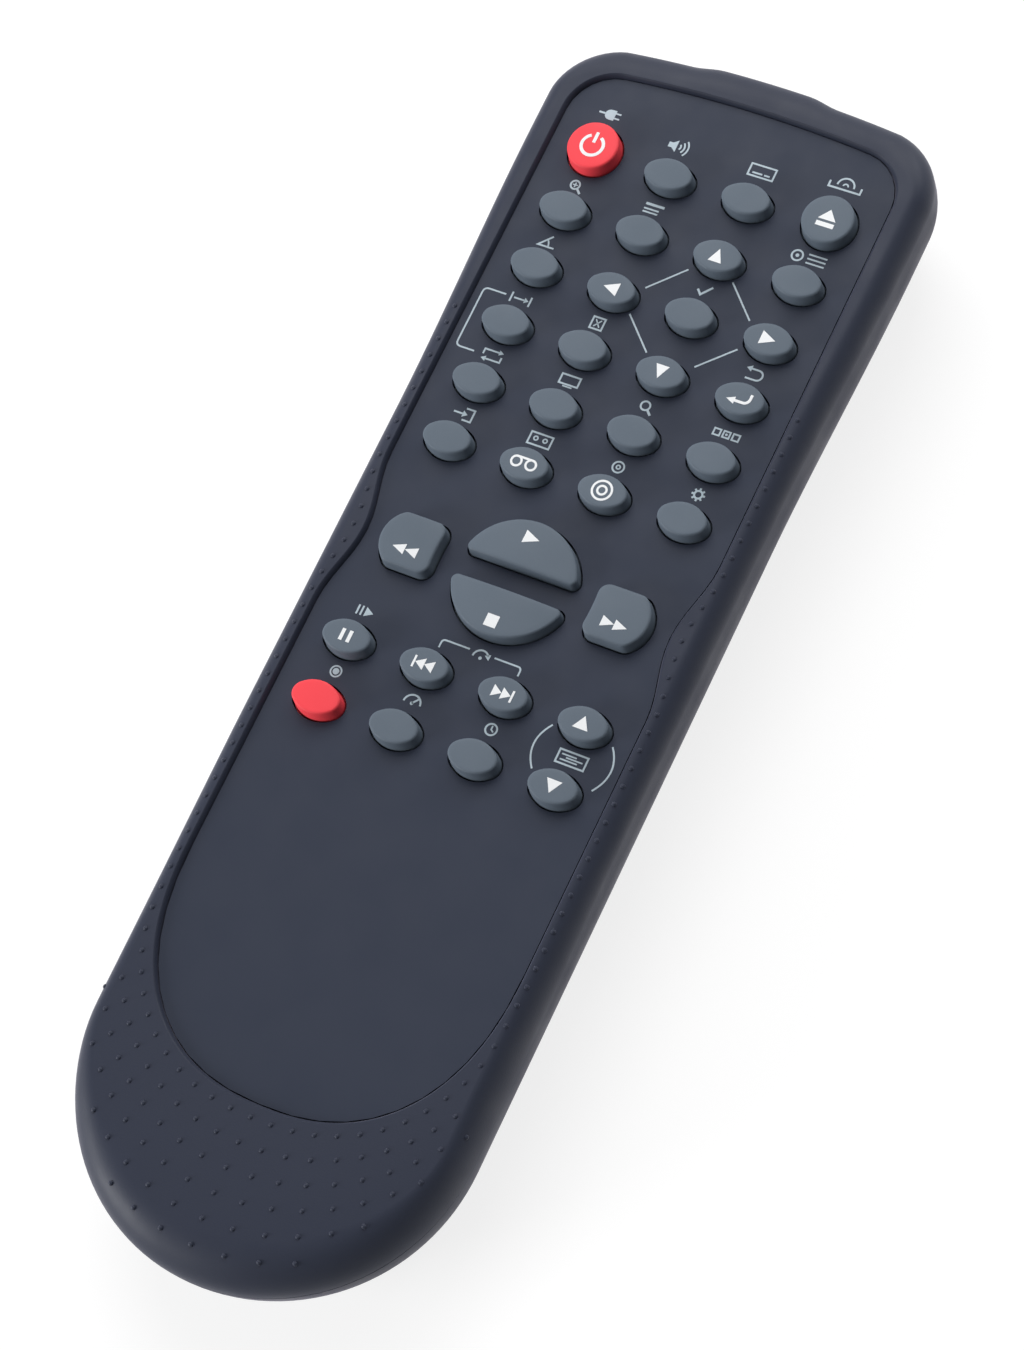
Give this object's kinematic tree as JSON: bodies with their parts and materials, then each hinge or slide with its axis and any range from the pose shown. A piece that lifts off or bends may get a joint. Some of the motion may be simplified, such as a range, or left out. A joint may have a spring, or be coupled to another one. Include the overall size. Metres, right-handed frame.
{
  "type": "remote control",
  "caption": "Hand-held infrared remote control for a disc and tape player: slim dark case, sunken face plate with oval keys, round palm end with grip dots, battery door underneath",
  "frame": {"origin": "under the middle of the case, on the surface it rests on", "axes": "+Z out of the keys, +Y towards the infrared window, +X to the right seen from above the keys"},
  "size_m": [0.0626, 0.196, 0.0235],
  "materials": {
    "case_plastic": "fine grained dark grey",
    "lower_plastic": "fine grained dark grey",
    "plate_plastic": "satin dark blue-grey",
    "key_grey": "satin blue-grey",
    "key_red": "satin red",
    "mat_rubber": "matt grey",
    "board_laminate": "brown laminate",
    "carbon_ink": "matt black",
    "chip_plastic": "matt black",
    "tinned_metal": "tinned",
    "orange_ceramic": "glossy orange",
    "sleeve_plastic": "glossy dark blue",
    "resistor_lacquer": "beige lacquer",
    "lamp_epoxy": "clear dark violet",
    "window_plastic": "glossy near black",
    "cell_jacket": "printed film",
    "contact_metal": "nickel plated",
    "wire_sleeve": "red and black insulation",
    "screw_steel": "zinc plated"
  },
  "bodies": {
    "case": {"top_case": "case_plastic", "bottom_case": "lower_plastic", "face_plate": "plate_plastic", "keypad_mat": "mat_rubber", "circuit_board": "board_laminate", "contact_pads": "carbon_ink", "control_chip": "chip_plastic", "chip_legs": "tinned_metal", "resonator": "orange_ceramic", "capacitor": "sleeve_plastic", "transistor": "chip_plastic", "resistors": "resistor_lacquer", "infrared_lamp": "lamp_epoxy", "lamp_leads": "tinned_metal", "lamp_window": "window_plastic", "cell_left": "cell_jacket", "cell_right": "cell_jacket", "coil_contacts": "contact_metal", "button_contacts": "contact_metal", "bridge_plate": "contact_metal", "supply_wires": "wire_sleeve", "case_screws": "screw_steel"},
    "battery_door": {"battery_door": "lower_plastic"},
    "key_power": {"key_power": "key_red"},
    "key_eject": {"key_eject": "key_grey"},
    "key_audio": {"key_audio": "key_grey"},
    "key_subtitle": {"key_subtitle": "key_grey"},
    "key_zoom": {"key_zoom": "key_grey"},
    "key_title": {"key_title": "key_grey"},
    "key_up": {"key_up": "key_grey"},
    "key_menu": {"key_menu": "key_grey"},
    "key_angle": {"key_angle": "key_grey"},
    "key_left": {"key_left": "key_grey"},
    "key_enter": {"key_enter": "key_grey"},
    "key_right": {"key_right": "key_grey"},
    "key_section": {"key_section": "key_grey"},
    "key_clear": {"key_clear": "key_grey"},
    "key_down": {"key_down": "key_grey"},
    "key_return": {"key_return": "key_grey"},
    "key_repeat": {"key_repeat": "key_grey"},
    "key_display": {"key_display": "key_grey"},
    "key_search": {"key_search": "key_grey"},
    "key_mode": {"key_mode": "key_grey"},
    "key_input": {"key_input": "key_grey"},
    "key_tape": {"key_tape": "key_grey"},
    "key_disc": {"key_disc": "key_grey"},
    "key_setup": {"key_setup": "key_grey"},
    "key_pause": {"key_pause": "key_grey"},
    "key_skip_back": {"key_skip_back": "key_grey"},
    "key_skip_next": {"key_skip_next": "key_grey"},
    "key_track_up": {"key_track_up": "key_grey"},
    "key_record": {"key_record": "key_red"},
    "key_speed": {"key_speed": "key_grey"},
    "key_timer": {"key_timer": "key_grey"},
    "key_track_down": {"key_track_down": "key_grey"},
    "key_play": {"key_play": "key_grey"},
    "key_stop": {"key_stop": "key_grey"},
    "key_rewind": {"key_rewind": "key_grey"},
    "key_forward": {"key_forward": "key_grey"}
  },
  "joints": [
    {"name": "battery_door_hinge", "type": "hinge", "parent": "case", "child": "battery_door", "pos_m": [0, -0.079, 0], "axis": [-1, 0, 0], "range_deg": [0, 70]},
    {"name": "key_power_press", "type": "slide", "parent": "case", "child": "key_power", "axis": [0, 0, -1], "range_m": [0, 0.001], "stiffness_N_per_m": 800},
    {"name": "key_eject_press", "type": "slide", "parent": "case", "child": "key_eject", "axis": [0, 0, -1], "range_m": [0, 0.001], "stiffness_N_per_m": 800},
    {"name": "key_audio_press", "type": "slide", "parent": "case", "child": "key_audio", "axis": [0, 0, -1], "range_m": [0, 0.001], "stiffness_N_per_m": 800},
    {"name": "key_subtitle_press", "type": "slide", "parent": "case", "child": "key_subtitle", "axis": [0, 0, -1], "range_m": [0, 0.001], "stiffness_N_per_m": 800},
    {"name": "key_zoom_press", "type": "slide", "parent": "case", "child": "key_zoom", "axis": [0, 0, -1], "range_m": [0, 0.001], "stiffness_N_per_m": 800},
    {"name": "key_title_press", "type": "slide", "parent": "case", "child": "key_title", "axis": [0, 0, -1], "range_m": [0, 0.001], "stiffness_N_per_m": 800},
    {"name": "key_up_press", "type": "slide", "parent": "case", "child": "key_up", "axis": [0, 0, -1], "range_m": [0, 0.001], "stiffness_N_per_m": 800},
    {"name": "key_menu_press", "type": "slide", "parent": "case", "child": "key_menu", "axis": [0, 0, -1], "range_m": [0, 0.001], "stiffness_N_per_m": 800},
    {"name": "key_angle_press", "type": "slide", "parent": "case", "child": "key_angle", "axis": [0, 0, -1], "range_m": [0, 0.001], "stiffness_N_per_m": 800},
    {"name": "key_left_press", "type": "slide", "parent": "case", "child": "key_left", "axis": [0, 0, -1], "range_m": [0, 0.001], "stiffness_N_per_m": 800},
    {"name": "key_enter_press", "type": "slide", "parent": "case", "child": "key_enter", "axis": [0, 0, -1], "range_m": [0, 0.001], "stiffness_N_per_m": 800},
    {"name": "key_right_press", "type": "slide", "parent": "case", "child": "key_right", "axis": [0, 0, -1], "range_m": [0, 0.001], "stiffness_N_per_m": 800},
    {"name": "key_section_press", "type": "slide", "parent": "case", "child": "key_section", "axis": [0, 0, -1], "range_m": [0, 0.001], "stiffness_N_per_m": 800},
    {"name": "key_clear_press", "type": "slide", "parent": "case", "child": "key_clear", "axis": [0, 0, -1], "range_m": [0, 0.001], "stiffness_N_per_m": 800},
    {"name": "key_down_press", "type": "slide", "parent": "case", "child": "key_down", "axis": [0, 0, -1], "range_m": [0, 0.001], "stiffness_N_per_m": 800},
    {"name": "key_return_press", "type": "slide", "parent": "case", "child": "key_return", "axis": [0, 0, -1], "range_m": [0, 0.001], "stiffness_N_per_m": 800},
    {"name": "key_repeat_press", "type": "slide", "parent": "case", "child": "key_repeat", "axis": [0, 0, -1], "range_m": [0, 0.001], "stiffness_N_per_m": 800},
    {"name": "key_display_press", "type": "slide", "parent": "case", "child": "key_display", "axis": [0, 0, -1], "range_m": [0, 0.001], "stiffness_N_per_m": 800},
    {"name": "key_search_press", "type": "slide", "parent": "case", "child": "key_search", "axis": [0, 0, -1], "range_m": [0, 0.001], "stiffness_N_per_m": 800},
    {"name": "key_mode_press", "type": "slide", "parent": "case", "child": "key_mode", "axis": [0, 0, -1], "range_m": [0, 0.001], "stiffness_N_per_m": 800},
    {"name": "key_input_press", "type": "slide", "parent": "case", "child": "key_input", "axis": [0, 0, -1], "range_m": [0, 0.001], "stiffness_N_per_m": 800},
    {"name": "key_tape_press", "type": "slide", "parent": "case", "child": "key_tape", "axis": [0, 0, -1], "range_m": [0, 0.001], "stiffness_N_per_m": 800},
    {"name": "key_disc_press", "type": "slide", "parent": "case", "child": "key_disc", "axis": [0, 0, -1], "range_m": [0, 0.001], "stiffness_N_per_m": 800},
    {"name": "key_setup_press", "type": "slide", "parent": "case", "child": "key_setup", "axis": [0, 0, -1], "range_m": [0, 0.001], "stiffness_N_per_m": 800},
    {"name": "key_pause_press", "type": "slide", "parent": "case", "child": "key_pause", "axis": [0, 0, -1], "range_m": [0, 0.001], "stiffness_N_per_m": 800},
    {"name": "key_skip_back_press", "type": "slide", "parent": "case", "child": "key_skip_back", "axis": [0, 0, -1], "range_m": [0, 0.001], "stiffness_N_per_m": 800},
    {"name": "key_skip_next_press", "type": "slide", "parent": "case", "child": "key_skip_next", "axis": [0, 0, -1], "range_m": [0, 0.001], "stiffness_N_per_m": 800},
    {"name": "key_track_up_press", "type": "slide", "parent": "case", "child": "key_track_up", "axis": [0, 0, -1], "range_m": [0, 0.001], "stiffness_N_per_m": 800},
    {"name": "key_record_press", "type": "slide", "parent": "case", "child": "key_record", "axis": [0, 0, -1], "range_m": [0, 0.001], "stiffness_N_per_m": 800},
    {"name": "key_speed_press", "type": "slide", "parent": "case", "child": "key_speed", "axis": [0, 0, -1], "range_m": [0, 0.001], "stiffness_N_per_m": 800},
    {"name": "key_timer_press", "type": "slide", "parent": "case", "child": "key_timer", "axis": [0, 0, -1], "range_m": [0, 0.001], "stiffness_N_per_m": 800},
    {"name": "key_track_down_press", "type": "slide", "parent": "case", "child": "key_track_down", "axis": [0, 0, -1], "range_m": [0, 0.001], "stiffness_N_per_m": 800},
    {"name": "key_play_press", "type": "slide", "parent": "case", "child": "key_play", "axis": [0, 0, -1], "range_m": [0, 0.001], "stiffness_N_per_m": 800},
    {"name": "key_stop_press", "type": "slide", "parent": "case", "child": "key_stop", "axis": [0, 0, -1], "range_m": [0, 0.001], "stiffness_N_per_m": 800},
    {"name": "key_rewind_press", "type": "slide", "parent": "case", "child": "key_rewind", "axis": [0, 0, -1], "range_m": [0, 0.001], "stiffness_N_per_m": 800},
    {"name": "key_forward_press", "type": "slide", "parent": "case", "child": "key_forward", "axis": [0, 0, -1], "range_m": [0, 0.001], "stiffness_N_per_m": 800}
  ]
}
